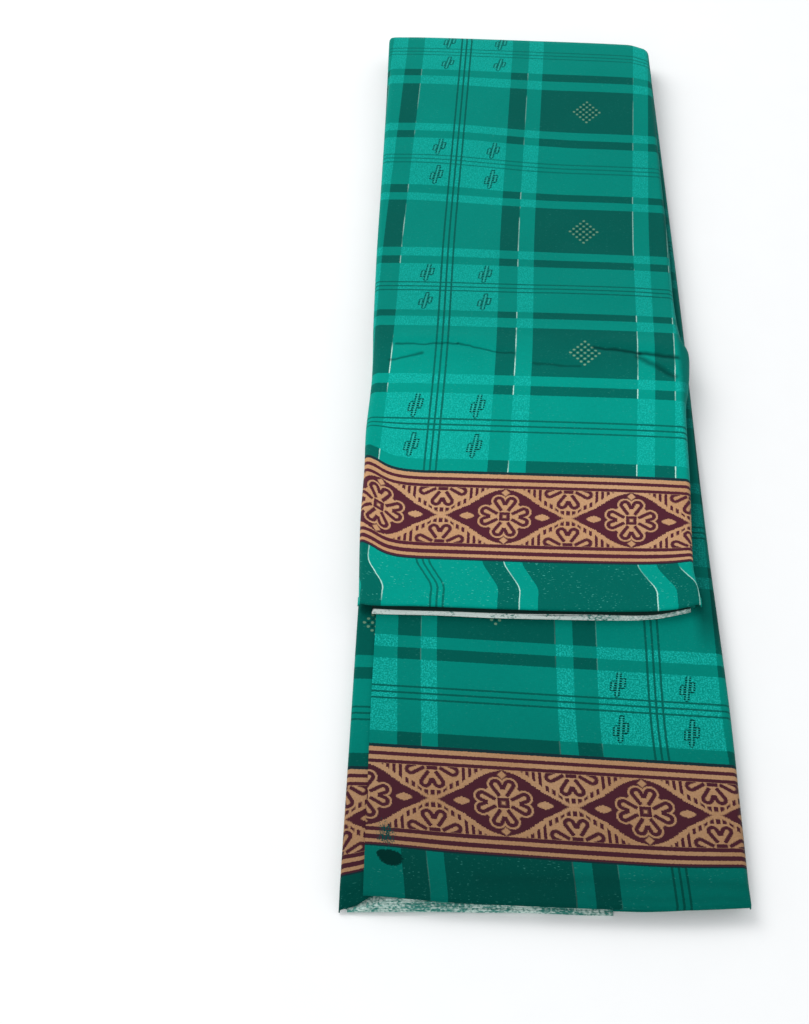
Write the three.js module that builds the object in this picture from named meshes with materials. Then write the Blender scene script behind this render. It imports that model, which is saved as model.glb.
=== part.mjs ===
// A cotton saree folded flat. The cloth is 5.5 m long and 1.13 m wide. It is folded
// to and fro along its length into a strip 172 mm wide, and the strip is folded over
// once, with its upper half shorter, so that the border of both long edges shows.
// Millimetres. +Z is up, +X is to the right along the hems, and +Y runs from the
// hems to the far fold. The origin is under the middle, on the surface it lies on.

import * as THREE from 'three';

// Driving dimensions
const CLOTH = 1.2;               // wall of one stretch of cloth
const CLEAR = 0.3;               // between two pieces that lie on each other
const HALF_LENGTH = 316;         // from the middle to the far fold, and to the lower front corner
const HALF_WIDTH = 91.8;         // from the middle to the widest layers
const FAR_TURN = 304.5;          // where the strip starts to turn over, at the left
const FAR_SKEW = 0.014;          // the far fold runs this much closer for each mm to the right
const FAR_HEIGHT = 22.8;         // top of the cloth as it starts to turn
const SLIT_TOP = 10.4;           // underside of the upper half's hidden layers
const TURN_SHARE = 0.355;        // radius of a side edge, as a share of the upper half's height
const TUCK = 0.4;                // how far a side edge runs on past its round
const UPPER_END = 159;           // from the middle to the upper hem, before the hem's own curve
const HEM_REACH = 70;            // how far from a hem or the far fold its curve dies out
const BASE_FRONT = 310;          // from the middle to the front of the cloth beneath
const BASE_RADIUS = 2.0;         // radius that its side edges turn up by
const SLIT_BOTTOM = 6.8;         // top of the lower half's hidden layers, under the far fold
const TURN_STEPS = 3;            // faces round a side edge
const FOLD_STEPS = 8;            // faces round the far fold

// The upper half, a row for each place along the strip: height of the top face, side edges
const UPPER = [
  { y: -160, top: 16.9, left: -90.2, right: 78.8 },
  { y: -121, top: 17.6, left: -91.4, right: 78.9 },
  { y: -97, top: 18.5, left: -HALF_WIDTH, right: 79.7 },
  { y: -66, top: 19.6, left: -91.3, right: 81.0 },
  { y: -40, top: 20.8, left: -91.6, right: 81.5 },
  { y: -16, top: 22.0, left: -90.5, right: 82.3 },
  { y: -4, top: 22.6, left: -90.0, right: 84.3 },
  { y: 10, top: 23.0, left: -90.0, right: 85.9 },
  { y: 25, top: 22.9, left: -90.4, right: 86.3 },
  { y: 36, top: 22.3, left: -90.8, right: 82.9 },
  { y: 68, top: 20.3, left: -91.2, right: 81.1 },
  { y: 108, top: 18.7, left: -91.5, right: 81.5 },
  { y: 150, top: 18.0, left: -91.3, right: 81.2 },
  { y: 200, top: 19.6, left: -91.0, right: 80.6 },
  { y: 240, top: 21.4, left: -90.9, right: 80.3 },
  { y: 280, top: 22.7, left: -91.1, right: 80.2 },
  { y: 305, top: FAR_HEIGHT, left: -91.2, right: 79.8 },
];

// The lower half: height of its top layer, that layer's side edges, and the next layer's left edge
const LOWER = [
  { y: -316, top: 8.9, left: -81.0, right: HALF_WIDTH, nextLeft: -HALF_WIDTH },
  { y: -300, top: 9.7, left: -81.2, right: 91.7, nextLeft: -91.6 },
  { y: -260, top: 10.3, left: -81.4, right: 91.5, nextLeft: -91.3 },
  { y: -210, top: 10.4, left: -81.7, right: 91.2, nextLeft: -91.0 },
  { y: -160, top: 10.1, left: -81.4, right: 90.0, nextLeft: -90.7 },
  { y: -110, top: 10.1, left: -81.4, right: 88.6, nextLeft: -90.4 },
  { y: -45, top: 10.1, left: -81.4, right: 87.6, nextLeft: -90.2 },
  { y: 60, top: 10.1, left: -81.6, right: 86.6, nextLeft: -90.0 },
  { y: 190, top: 10.1, left: -81.6, right: 84.2, nextLeft: -90.0 },
  { y: 305, top: 10.1, left: -81.6, right: 81.8, nextLeft: -90.0 },
];

// The hem of the upper half and of the lower half: where each ends along the strip
const UPPER_HEM = [
  { x: -91, y: -155.4 }, { x: -84, y: -157.7 }, { x: -50, y: -157.9 }, { x: -9, y: -157.8 },
  { x: 26, y: -159.0 }, { x: 50, y: -157.6 }, { x: 66, y: -154.3 }, { x: 79, y: -149.9 },
];
const LOWER_HEM = [
  { x: -82, y: -312.3 }, { x: -66, y: -313.7 }, { x: -29, y: -314.1 }, { x: 24, y: -315.1 },
  { x: 60, y: -314.6 }, { x: 92, y: -312.2 },
];

// Soft creases in the top face, as ridges (+) and troughs (-) that fade out at both ends
const CREASES = [
  { x0: -88, y0: 27, x1: -6, y1: 18, rise: -1.3, width: 5.5 },
  { x0: -84, y0: 11, x1: -52, y1: 16, rise: 0.8, width: 5.0 },
  { x0: -4, y0: 12, x1: 38, y1: 5, rise: -0.7, width: 7.0 },
  { x0: 28, y0: 26, x1: 84, y1: 18, rise: -1.5, width: 5.0 },
  { x0: 40, y0: 8, x1: 84, y1: 6, rise: 1.0, width: 6.0 },
  { x0: -90, y0: -50, x1: -52, y1: -62, rise: -0.6, width: 8.0 },
  { x0: -60, y0: 214, x1: 30, y1: 200, rise: 0.6, width: 16.0 },
];

// The hidden layers, a row for each rib on the sides: how far the rib stands out of the side,
// how far that swings along the strip, and where the swing starts
const RIBS = [
  { out: -1.5, swing: 0.6, start: 0.4 },
  { out: -0.7, swing: 0.5, start: 2.6 },
  { out: -2.1, swing: 0.8, start: 4.3 },
];
const RIB_GROOVE = 1.3;          // depth of the groove between two ribs
const RIB_SWING_LENGTH = 36;     // mm along the strip for one radian of swing
const RIB_INSET = 1.9;           // the lower half's ribs lie this far inside its widest layer
const UPPER_LAYERS_FRONT = 148.5;
const LOWER_LAYERS_FRONT = 304.5;
const LAYER_ROOM = 0.45;         // between the outermost layer and the layers under it
const CREASE_ROOM = 1.5;         // more of it under the large creases

// The cloth beneath: its side edges at the far fold and at the front, and its front edge
const FAR_BASE = { left: -90.4, right: 80.4 };
const FRONT_BASE = { left: -90.2, right: 89.0 };
const NEXT_HEM = [
  { x: -92, y: -316 }, { x: -84, y: -315.4 }, { x: -76, y: -312 }, { x: -60, y: -309.4 }, { x: 92, y: -308.6 },
];
const CORNER_DROOP = 3.4;         // how far the next layer's front left corner hangs
const SLIT_LENGTH = 612;         // from the lower hem to the inside of the far fold
const BASE_HEM = [
  { x: -90, y: -315.0 }, { x: -64, y: -315.2 }, { x: -28, y: -313.8 }, { x: 25, y: -311.9 },
  { x: 50, y: -311.5 }, { x: 89, y: -307.6 },
];
// Front of the pale woven edges under the lower hem
const PALE_FRONT = [
  { x: -72, y: -314.9 }, { x: -62, y: -315.1 }, { x: -28, y: -314.6 }, { x: 0, y: -314.1 }, { x: 28, y: -313.6 },
];

// Colours of the print, the pale reverse and the inside of the fold
const GREEN = 0x04857a;
const DEEP_GREEN = 0x055d54;
const PALE = 0xb9cdc8;

// Value of one column of a table at a place, on a smooth curve through the rows
function along(table, key, place, column) {
  const last = table.length - 1;
  if (place <= table[0][key]) return table[0][column];
  if (place >= table[last][key]) return table[last][column];
  let i = 0;
  while (place > table[i + 1][key]) i += 1;
  const slope = (j) => {
    const a = table[Math.max(0, j - 1)];
    const b = table[Math.min(last, j + 1)];
    return (b[column] - a[column]) / (b[key] - a[key]);
  };
  const p = table[i];
  const q = table[i + 1];
  const step = q[key] - p[key];
  const t = (place - p[key]) / step;
  const t2 = t * t;
  const t3 = t2 * t;
  return (2 * t3 - 3 * t2 + 1) * p[column] + (t3 - 2 * t2 + t) * step * slope(i)
    + (3 * t2 - 2 * t3) * q[column] + (t3 - t2) * step * slope(i + 1);
}

function soft(t) {
  const c = Math.min(1, Math.max(0, t));
  return c * c * (3 - 2 * c);
}

function creaseRise(x, y) {
  let rise = 0;
  for (const c of CREASES) {
    const dx = c.x1 - c.x0;
    const dy = c.y1 - c.y0;
    const length2 = dx * dx + dy * dy;
    const t = Math.min(1, Math.max(0, ((x - c.x0) * dx + (y - c.y0) * dy) / length2));
    const away = Math.hypot(x - c.x0 - t * dx, y - c.y0 - t * dy) / c.width;
    rise += c.rise * Math.exp(-away * away) * soft(4 * t + 0.2) * soft(4 * (1 - t) + 0.2);
  }
  return rise;
}

// How the top face falls from its middle line to its side edges
function crown(x, left, right) {
  const across = (2 * x - left - right) / (right - left);
  return -1.1 * across * across * across * across;
}

const upperTop = (x, y) => along(UPPER, 'y', y, 'top') + creaseRise(x, y)
  + crown(x, along(UPPER, 'y', y, 'left'), along(UPPER, 'y', y, 'right'));

// Places from one end to the other, with the ends, in a number of steps
function stations(from, to, steps) {
  return Array.from({ length: steps + 1 }, (_, i) => from + (to - from) * i / steps);
}

// Section of a stretch of cloth, left to right: its side edges turn down by a radius.
// Each point has its depth under the face, and the direction that the cloth faces there.
function turnedSection(left, right, leftRadius, rightRadius, across) {
  const section = [];
  const steps = TURN_STEPS;
  if (leftRadius > 0) {
    section.push({ x: left, depth: leftRadius + TUCK, nx: -1, nd: 0 });
    for (let i = 0; i < steps; i += 1) {
      const a = (Math.PI / 2) * (1 - i / steps);
      section.push({ x: left + leftRadius * (1 - Math.sin(a)), depth: leftRadius * (1 - Math.cos(a)),
        nx: -Math.sin(a), nd: Math.cos(a) });
    }
  }
  for (const x of stations(left + leftRadius, right - rightRadius, across)) {
    section.push({ x, depth: 0, nx: 0, nd: 1 });
  }
  if (rightRadius > 0) {
    for (let i = 1; i <= steps; i += 1) {
      const a = (Math.PI / 2) * (i / steps);
      section.push({ x: right - rightRadius * (1 - Math.sin(a)), depth: rightRadius * (1 - Math.cos(a)),
        nx: Math.sin(a), nd: Math.cos(a) });
    }
    section.push({ x: right, depth: rightRadius + TUCK, nx: 1, nd: 0 });
  }
  return section;
}

// A closed body through rings of as many points each, with its two ends closed.
// The ends are seen flat along one axis, which is left out of their triangles' plane.
function loft(name, rings, color, endAxis = 'y') {
  const size = rings[0].length;
  const points = rings.flat();
  const faces = [];
  for (let r = 0; r + 1 < rings.length; r += 1) {
    for (let i = 0; i < size; i += 1) {
      const j = (i + 1) % size;
      const a = r * size;
      const b = a + size;
      faces.push([a + i, b + i, b + j], [a + i, b + j, a + j]);
    }
  }
  const seen = endAxis === 'y' ? (p) => new THREE.Vector2(p.x, p.z) : (p) => new THREE.Vector2(p.y, p.z);
  for (const [ring, last] of [[0, false], [rings.length - 1, true]]) {
    const flat = rings[ring].map(seen);
    const turn = THREE.ShapeUtils.area(flat);
    for (const [a, b, c] of THREE.ShapeUtils.triangulateShape(flat, [])) {
      const small = THREE.ShapeUtils.area([flat[a], flat[b], flat[c]]);
      const k = ring * size;
      const follows = small * turn > 0;
      faces.push(follows === last ? [k + a, k + c, k + b] : [k + a, k + b, k + c]);
    }
  }
  const volume = faces.reduce((sum, [a, b, c]) => sum + points[a].dot(points[b].clone().cross(points[c])), 0);
  const index = volume < 0 ? faces.flatMap(([a, b, c]) => [a, c, b]) : faces.flat();
  const geometry = new THREE.BufferGeometry().setFromPoints(points);
  geometry.setIndex(index);
  geometry.computeVertexNormals();
  const material = new THREE.MeshStandardMaterial({ color, roughness: 0.85, metalness: 0 });
  const mesh = new THREE.Mesh(geometry, material);
  mesh.name = name;
  return mesh;
}

// A wall of cloth: rows of points with the way they face, and the same points moved in
function clothWall(name, rows, color) {
  const rings = rows.map((row) => {
    const outer = row.map((s) => s.p);
    const inner = row.map((s) => s.p.clone().addScaledVector(s.n, -CLOTH));
    return [...outer, ...inner.reverse()];
  });
  return loft(name, rings, color);
}

// The far fold: where it starts to turn, rounded off at its two corners, and its outer side at
// one turn, from 0 on top to pi beneath
const farStart = (x) => FAR_TURN - FAR_SKEW * Math.max(0, x + 72) - 4 * soft((x - 66) / 14)
  - 1.2 * soft((-87 - x) / 5);

function farPoint(x, angle, left, right) {
  const middle = FAR_HEIGHT / 2;
  const fall = (crown(x, left, right) + creaseRise(x, FAR_TURN)) * (1 + Math.cos(angle)) / 2;
  return new THREE.Vector3(x, farStart(x) + (HALF_LENGTH - FAR_TURN) * Math.sin(angle),
    middle + middle * Math.cos(angle) + fall);
}

const lerp = THREE.MathUtils.lerp;
const up = new THREE.Vector3(0, 0, 1);
const down = new THREE.Vector3(0, 0, -1);
const upperRadius = (y) => TURN_SHARE * (along(UPPER, 'y', y, 'top') - SLIT_TOP);

// Places along the outermost layer, over the top, round the far fold and back beneath: its side
// edges, the radius they turn by, and for each x the outer point, the way it faces, and the point
// of the slit between the two halves that lies under it. baseHem gives the front edge beneath.
function outerPlaces(topPlaces, basePlaces, baseHem) {
  const places = topPlaces.map((y) => {
    const hemShare = soft(1 - (y + UPPER_END) / HEM_REACH);
    const farShare = soft((y - FAR_TURN + HEM_REACH) / HEM_REACH);
    const shifted = (x) => y + (along(UPPER_HEM, 'x', x, 'y') + UPPER_END) * hemShare
      + (farStart(x) - FAR_TURN) * farShare;
    return {
      half: 'upper', y, radius: upperRadius(y), share: 0, facing: up,
      left: along(UPPER, 'y', y, 'left'), right: along(UPPER, 'y', y, 'right'),
      outer: (x) => new THREE.Vector3(x, shifted(x), upperTop(x, y)),
      slit: (x) => new THREE.Vector3(x, shifted(x), SLIT_TOP),
    };
  });
  const slitMiddle = (SLIT_TOP + SLIT_BOTTOM) / 2;
  const slitHalf = (SLIT_TOP - SLIT_BOTTOM) / 2;
  for (let i = 1; i <= FOLD_STEPS; i += 1) {
    const angle = Math.PI * i / FOLD_STEPS;
    const share = soft(i / FOLD_STEPS);
    const left = lerp(along(UPPER, 'y', FAR_TURN, 'left'), FAR_BASE.left, share);
    const right = lerp(along(UPPER, 'y', FAR_TURN, 'right'), FAR_BASE.right, share);
    places.push({
      half: 'fold', y: FAR_TURN, radius: lerp(upperRadius(FAR_TURN), BASE_RADIUS, share), share, left, right,
      facing: new THREE.Vector3(0, Math.sin(angle), Math.cos(angle)),
      outer: (x) => farPoint(x, angle, left, right),
      slit: (x) => new THREE.Vector3(x, farStart(x) + slitHalf * Math.sin(angle),
        slitMiddle + slitHalf * Math.cos(angle)),
    });
  }
  for (const y of basePlaces) {
    const share = (FAR_TURN - y) / (FAR_TURN + BASE_FRONT);
    places.push({
      half: 'lower', y, radius: BASE_RADIUS, share: 1, facing: down,
      left: lerp(FAR_BASE.left, FRONT_BASE.left, share), right: lerp(FAR_BASE.right, FRONT_BASE.right, share),
      outer: (x) => new THREE.Vector3(x, lerp(farStart(x), baseHem(x), share), 0),
      slit: (x) => {
        const under = lerp(farStart(x), -BASE_FRONT, share);
        return new THREE.Vector3(x, under, nextTop(under) - CLOTH - 2 * CLEAR);
      },
    });
  }
  return places;
}

function outerStretch() {
  const topPlaces = [...stations(-UPPER_END, -34, 9), ...stations(-24, 48, 9),
    ...stations(60, FAR_TURN, 17)];
  const basePlaces = stations(FAR_TURN - 30, -BASE_FRONT, 6);
  const hem = (x) => along(BASE_HEM, 'x', x, 'y');
  const rows = outerPlaces(topPlaces, basePlaces, hem).map((place) => {
    const section = turnedSection(place.left, place.right, place.radius, place.radius, 12);
    return section.map((c) => ({
      p: place.outer(c.x).addScaledVector(place.facing, -c.depth),
      n: place.facing.clone().multiplyScalar(c.nd).setX(c.nx),
    }));
  });
  return clothWall('outer_stretch', rows, GREEN);
}

// One side of the hidden layers at a place, from just under the outermost layer to the slit:
// a round corner inside the turned side edge, then ribs with grooves between them
function layeredSide(place, side, depthTotal) {
  const outward = side === 'left' ? -1 : 1;
  const edge = place[side];
  const under = CLOTH + CLEAR;
  const points = [];
  for (let i = 0; i <= 2; i += 1) {
    const a = (Math.PI / 4) * i;
    const r = place.radius - under - 0.1;
    points.push({ x: edge - outward * (place.radius - r * Math.sin(a)), depth: place.radius - r * Math.cos(a) });
  }
  const start = place.radius + TUCK + 2 * CLEAR;
  points.push({ x: edge - outward * under, depth: start });
  const ribSide = lerp(edge, lowerSide(place.y, side), place.share);
  const height = (depthTotal - start) / RIBS.length;
  RIBS.forEach((rib, k) => {
    const swing = rib.swing * Math.sin(place.y / RIB_SWING_LENGTH + rib.start + (side === 'left' ? 2 : 0));
    const crest = ribSide + outward * (rib.out + swing);
    const groove = ribSide + outward * (rib.out - RIB_GROOVE);
    points.push({ x: groove, depth: start + height * (k + 0.08) });
    points.push({ x: crest, depth: start + height * (k + 0.35) });
    points.push({ x: crest, depth: start + height * (k + 0.72) });
  });
  points.push({ x: ribSide - outward * 2.6, depth: depthTotal });
  return points;
}

function hiddenLayers() {
  const topPlaces = [...stations(-UPPER_LAYERS_FRONT, -34, 5), ...stations(-24, 48, 9),
    ...stations(68, FAR_TURN, 10)];
  const basePlaces = stations(FAR_TURN - 24, -LOWER_LAYERS_FRONT, 15);
  const rings = outerPlaces(topPlaces, basePlaces, () => -BASE_FRONT).map((place) => {
    const creased = place.half === 'upper' ? soft((place.y + 40) / 24) * soft((80 - place.y) / 24) : 0;
    const room = place.half === 'lower' ? 0 : LAYER_ROOM + CREASE_ROOM * creased;
    const at = (x, depth) => {
      const outer = place.outer(x);
      const inward = place.slit(x).sub(outer);
      const level = Math.min(inward.length(), Math.max(depth, CLOTH + CLEAR + room));
      return outer.addScaledVector(inward.normalize(), level);
    };
    const thickAt = (x) => place.outer(x).distanceTo(place.slit(x));
    const left = layeredSide(place, 'left', thickAt(place.left));
    const right = layeredSide(place, 'right', thickAt(place.right));
    const outside = stations(left[0].x, right[0].x, 6).slice(1, -1).map((x) => ({ x, depth: left[0].depth }));
    const inside = stations(right.at(-1).x, left.at(-1).x, 2).slice(1, -1).map((x) => ({ x, depth: thickAt(x) }));
    return [...outside, ...right, ...inside, ...left.reverse()].map((c) => at(c.x, c.depth));
  });
  return loft('hidden_layers', rings, DEEP_GREEN);
}

// Height of the top layer of the lower half, and of the next layer, which droops at its front
// left corner
const lowerTop = (y) => along(LOWER, 'y', y, 'top');
const nextTop = (y) => lowerTop(y) - CLOTH - CLEAR;
const lowerSide = (y, side) => (side === 'left'
  ? along(LOWER, 'y', y, 'nextLeft') + RIB_INSET : along(LOWER, 'y', y, 'right') - RIB_INSET);
const droop = (x, y) => CORNER_DROOP * soft((-306 - y) / 10) * soft((-77 - x) / 8);

// Places along the lower half's visible layers, from a hem to just short of the far fold
function lowerPlaces(hem, steps) {
  return [...stations(0, 30, 4), ...stations(50, SLIT_LENGTH, steps)].map((s) => ({
    y: s - HALF_LENGTH,
    at: (x) => s - HALF_LENGTH + (along(hem, 'x', x, 'y') + HALF_LENGTH) * soft(1 - s / HEM_REACH),
  }));
}

function lowerStretch() {
  const rows = lowerPlaces(LOWER_HEM, 16).map(({ y, at }) => {
    const section = turnedSection(along(LOWER, 'y', y, 'left'), along(LOWER, 'y', y, 'right'), 0, 3.0, 9);
    return section.map((c) => ({
      p: new THREE.Vector3(c.x, at(c.x), lowerTop(at(c.x)) - c.depth), n: new THREE.Vector3(c.nx, 0, c.nd),
    }));
  });
  return clothWall('lower_stretch', rows, GREEN);
}

function lowerLeftStretch() {
  const rows = lowerPlaces(NEXT_HEM, 14).map(({ y, at }) => {
    const section = turnedSection(along(LOWER, 'y', y, 'nextLeft'), along(LOWER, 'y', y, 'right') - 4.5,
      lerp(1.6, 2.0, soft((y + 314) / 14)), 0, 9);
    return section.map((c) => {
      const place = at(c.x);
      const z = nextTop(place) - droop(c.x, place) - c.depth;
      return { p: new THREE.Vector3(c.x, place, z), n: new THREE.Vector3(c.nx, 0, c.nd) };
    });
  });
  return clothWall('lower_left_stretch', rows, GREEN);
}

// The pale woven edges of many layers, as one soft roll under a hem: for each x its back and
// front, its underside and its top. LIPS gives the layers that show in its front.
const LIPS = [
  { height: 0, back: 1.3 }, { height: 0.1, back: 0.3 }, { height: 0.3, back: 0.1 }, { height: 0.4, back: 0.8 },
  { height: 0.5, back: 0.1 }, { height: 0.72, back: 0.2 }, { height: 0.82, back: 0.9 }, { height: 1, back: 1.6 },
];

function layerEnds(name, places, extent) {
  const rings = places.map((x) => {
    const e = extent(x);
    const at = (y, height) => new THREE.Vector3(x, y, lerp(e.bottom, e.top, height));
    return [at(e.back, 0), ...LIPS.map((lip) => at(e.front + lip.back * e.curl, lip.height)), at(e.back, 1)];
  });
  return loft(name, rings, PALE, 'x');
}

function flapEndLayers() {
  return layerEnds('flap_end_layers', stations(-83, 74, 15), (x) => {
    const hem = along(UPPER_HEM, 'x', x, 'y');
    return { front: hem + 1.1, back: hem + 9, bottom: SLIT_TOP, top: upperTop(x, -UPPER_END) - CLOTH - 0.5, curl: 1 };
  });
}

function frontEndLayers() {
  return layerEnds('front_end_layers', stations(-72, 28, 9), (x) => {
    const full = nextTop(-HALF_LENGTH + 2) - 2 * (CLOTH + CLEAR);
    return { front: along(PALE_FRONT, 'x', x, 'y'), back: -LOWER_LAYERS_FRONT - 1.8, bottom: CLOTH + CLEAR,
      top: CLOTH + CLEAR + full * (1 - 0.6 * soft((x + 10) / 38)), curl: 1 };
  });
}

const group = new THREE.Group();
group.name = 'folded_saree';
group.add(outerStretch(), hiddenLayers(), flapEndLayers(), lowerStretch(), lowerLeftStretch(), frontEndLayers());

export default group;
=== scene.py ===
# %% [markdown]
# A printed cotton saree, folded flat and lying on a plain surface. The cloth is folded to and fro
# into a strip, and the strip is folded over once, with its upper half shorter than its lower half.
# Tables are in millimetres, as on the drawing of the part, and MM turns them into metres.

# %% Load the frame
import math

import bpy
import numpy as np
from mathutils import Matrix, Vector


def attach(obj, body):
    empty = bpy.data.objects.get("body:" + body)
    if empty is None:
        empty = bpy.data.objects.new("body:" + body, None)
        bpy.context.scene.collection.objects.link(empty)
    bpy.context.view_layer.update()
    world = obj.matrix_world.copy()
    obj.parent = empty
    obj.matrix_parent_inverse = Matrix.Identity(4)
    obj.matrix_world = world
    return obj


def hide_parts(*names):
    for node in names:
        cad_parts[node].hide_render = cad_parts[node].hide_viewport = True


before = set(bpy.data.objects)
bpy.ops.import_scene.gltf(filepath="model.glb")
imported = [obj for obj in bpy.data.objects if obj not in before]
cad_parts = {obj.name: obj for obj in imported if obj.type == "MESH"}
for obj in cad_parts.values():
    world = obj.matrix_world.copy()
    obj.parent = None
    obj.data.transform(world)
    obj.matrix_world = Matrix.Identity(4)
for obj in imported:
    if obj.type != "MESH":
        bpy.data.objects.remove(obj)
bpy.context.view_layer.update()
MM = 0.001
CLOTH = 0.6          # thickness that the cloth is given here
print("nodes", sorted(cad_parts))

# %% [markdown]
# The camera looks down at the folded saree from its front, a little to the left of its middle.
# Its place and turn come from the outline in the photograph. A long lens keeps the strip nearly
# parallel, and no shift is needed.

# %% Camera
pitch = math.radians(50.0)
yaw = math.radians(-0.977)
roll = math.radians(0.961)
forward = Vector((math.sin(yaw) * math.cos(pitch), math.cos(yaw) * math.cos(pitch), -math.sin(pitch)))
level = Vector((math.cos(yaw), -math.sin(yaw), 0.0))
raised = level.cross(forward)
right = level * math.cos(roll) + raised * math.sin(roll)
upward = raised * math.cos(roll) - level * math.sin(roll)
bpy.ops.object.select_all(action="DESELECT")
bpy.ops.object.camera_add(location=(-0.0588, -0.69855, 0.735))
camera = bpy.context.object
camera.name = "camera"
camera.rotation_euler = Matrix((right, upward, -forward)).transposed().to_euler()
camera.data.sensor_width = 36.0
camera.data.lens = 63.58
camera.data.clip_start = 0.01
bpy.context.scene.camera = camera
bpy.context.scene.view_settings.view_transform = "Standard"
print("camera", tuple(round(x, 4) for x in camera.location))

# %% [markdown]
# Plain soft studio light: one wide lamp above and behind to the left, a weaker one in front of
# it, and an even pale surrounding. Small lamps would draw hard edges beside every crease, so the
# lamps are wide, and the shadows stay soft and short.

# %% Light
def area_light(name, place, aim, size, power):
    bpy.ops.object.select_all(action="DESELECT")
    bpy.ops.object.light_add(type="AREA", location=place)
    lamp = bpy.context.object
    lamp.name = name
    lamp.data.size = size
    lamp.data.energy = power
    lamp.rotation_euler = (Vector(aim) - Vector(place)).to_track_quat("-Z", "Y").to_euler()


area_light("wide_lamp", (-0.9, 0.7, 1.5), (0.0, 0.0, 0.0), 1.3, 17.0)
area_light("front_lamp", (-0.4, -1.5, 1.2), (0.0, -0.1, 0.0), 1.0, 5.0)
world = bpy.data.worlds.new("pale_room")
world.use_nodes = True
world.node_tree.nodes["Background"].inputs["Color"].default_value = (0.95, 0.98, 1.0, 1.0)
world.node_tree.nodes["Background"].inputs["Strength"].default_value = 0.62
bpy.context.scene.world = world

# %% [markdown]
# A folded saree is never quite straight: its edges swell and narrow a little, and its top face
# rises over the crease. It could be sculpted by hand or draped by a simulation, but a few rows of
# places, as on the drawing, give the same outline every time. A smooth curve runs through the rows
# of each table, and a soft step fades one shape into another.

# %% Form of the folded strip
HALF_LENGTH = 316.0
FAR_TURN = 304.5
FAR_HEIGHT = 22.8
UPPER_END = 159.0
HEM_REACH = 70.0
SLIT_TOP = 10.4
SLIT_BOTTOM = 6.8
# Place along the strip: height of the top face, left edge, right edge
UPPER = np.array([
    (-160, 16.9, -90.2, 78.8), (-121, 17.6, -91.4, 78.9), (-97, 18.5, -91.8, 79.7),
    (-66, 19.6, -91.3, 81.0), (-40, 20.8, -91.6, 81.5), (-16, 22.0, -90.5, 82.3),
    (-4, 22.6, -90.0, 84.3), (10, 23.0, -90.0, 85.9), (25, 22.9, -90.4, 86.3),
    (36, 22.3, -90.8, 82.9), (68, 20.3, -91.2, 81.1), (108, 18.7, -91.5, 81.5),
    (150, 18.0, -91.3, 81.2), (200, 19.6, -91.0, 80.6), (240, 21.4, -90.9, 80.3),
    (280, 22.7, -91.1, 80.2), (305, FAR_HEIGHT, -91.2, 79.8),
])
# Left and right edge at the far fold, and beneath it on the surface
FOLD_SIDES = (-90.4, 80.4)
BASE_SIDES = (-90.2, 89.0)
# The same for the lower half, and the left edge of the layer under it
LOWER = np.array([
    (-316, 8.9, -81.0, 91.8, -91.8), (-300, 9.7, -81.2, 91.7, -91.6),
    (-260, 10.3, -81.4, 91.5, -91.3), (-210, 10.4, -81.7, 91.2, -91.0),
    (-160, 10.1, -81.4, 90.0, -90.7), (-110, 10.1, -81.4, 88.6, -90.4),
    (-45, 10.1, -81.4, 87.6, -90.2), (60, 10.1, -81.6, 86.6, -90.0),
    (190, 10.1, -81.6, 84.2, -90.0), (305, 10.1, -81.6, 81.8, -90.0),
])
# Place across: place along where each piece ends in front
UPPER_HEM = np.array([
    (-91, -154.2), (-84, -155.9), (-60, -156.0), (-30, -156.4), (14, -156.5), (50, -155.2),
    (66, -152.8), (79, -148.4),
])
FLAP_ROLL = np.array([
    (-84, -157.0), (-60, -157.4), (-30, -157.7), (-2, -157.7), (30, -156.9), (58, -155.2),
    (77, -150.2),
])
LOWER_HEM = np.array([
    (-82, -312.2), (-73, -312.4), (-63, -313.0), (-42, -314.3), (-11, -314.8), (24, -315.1),
    (60, -314.6), (92, -312.2),
])
NEXT_HEM = np.array([(-92, -317.0), (-84, -314.6), (-76, -311.6), (-60, -309.4), (92, -308.6)])
BASE_HEM = np.array([
    (-90, -315.0), (-64, -315.2), (-28, -313.8), (25, -311.9), (50, -311.5), (89, -307.6),
])
PALE_FRONT = np.array([
    (-86, -316.4), (-72, -316.0), (-62, -315.6), (-28, -314.6), (0, -314.1), (28, -313.6),
    (42, -313.4),
])
# Soft creases in the top face: both ends, rise of a ridge or fall of a trough, half width
CREASES = [
    (-82, 22, -44, 22.6, -0.75, 2.4), (-48, 22.8, -12, 15.5, -0.8, 2.2), (-80, 28, -20, 27, 0.7, 5.0),
    (-82, 9.5, -62, 14.5, -0.6, 2.2), (-76, 15.5, -30, 15.5, 0.5, 4.0), (-1, 9.2, 25, 7.4, -0.5, 2.6),
    (31, 23.4, 60, 19.5, -0.8, 2.3), (55, 20, 79, 17.6, -0.9, 2.4), (34, 29, 78, 26, 0.6, 4.5),
    (56, 16, 78, 3, -0.9, 2.6), (62, 11, 82, 9, 0.8, 4.0), (-20, 35, 4, 31, -0.35, 3.5),
    (-90, -50, -52, -62, -0.6, 8.0), (-60, 214, 30, 200, 0.6, 16.0), (10, 118, 70, 108, -0.5, 9.0),
    (-70, 150, -10, 160, -0.4, 12.0), (0, 66, 70, 74, 0.4, 10.0),
]


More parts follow.
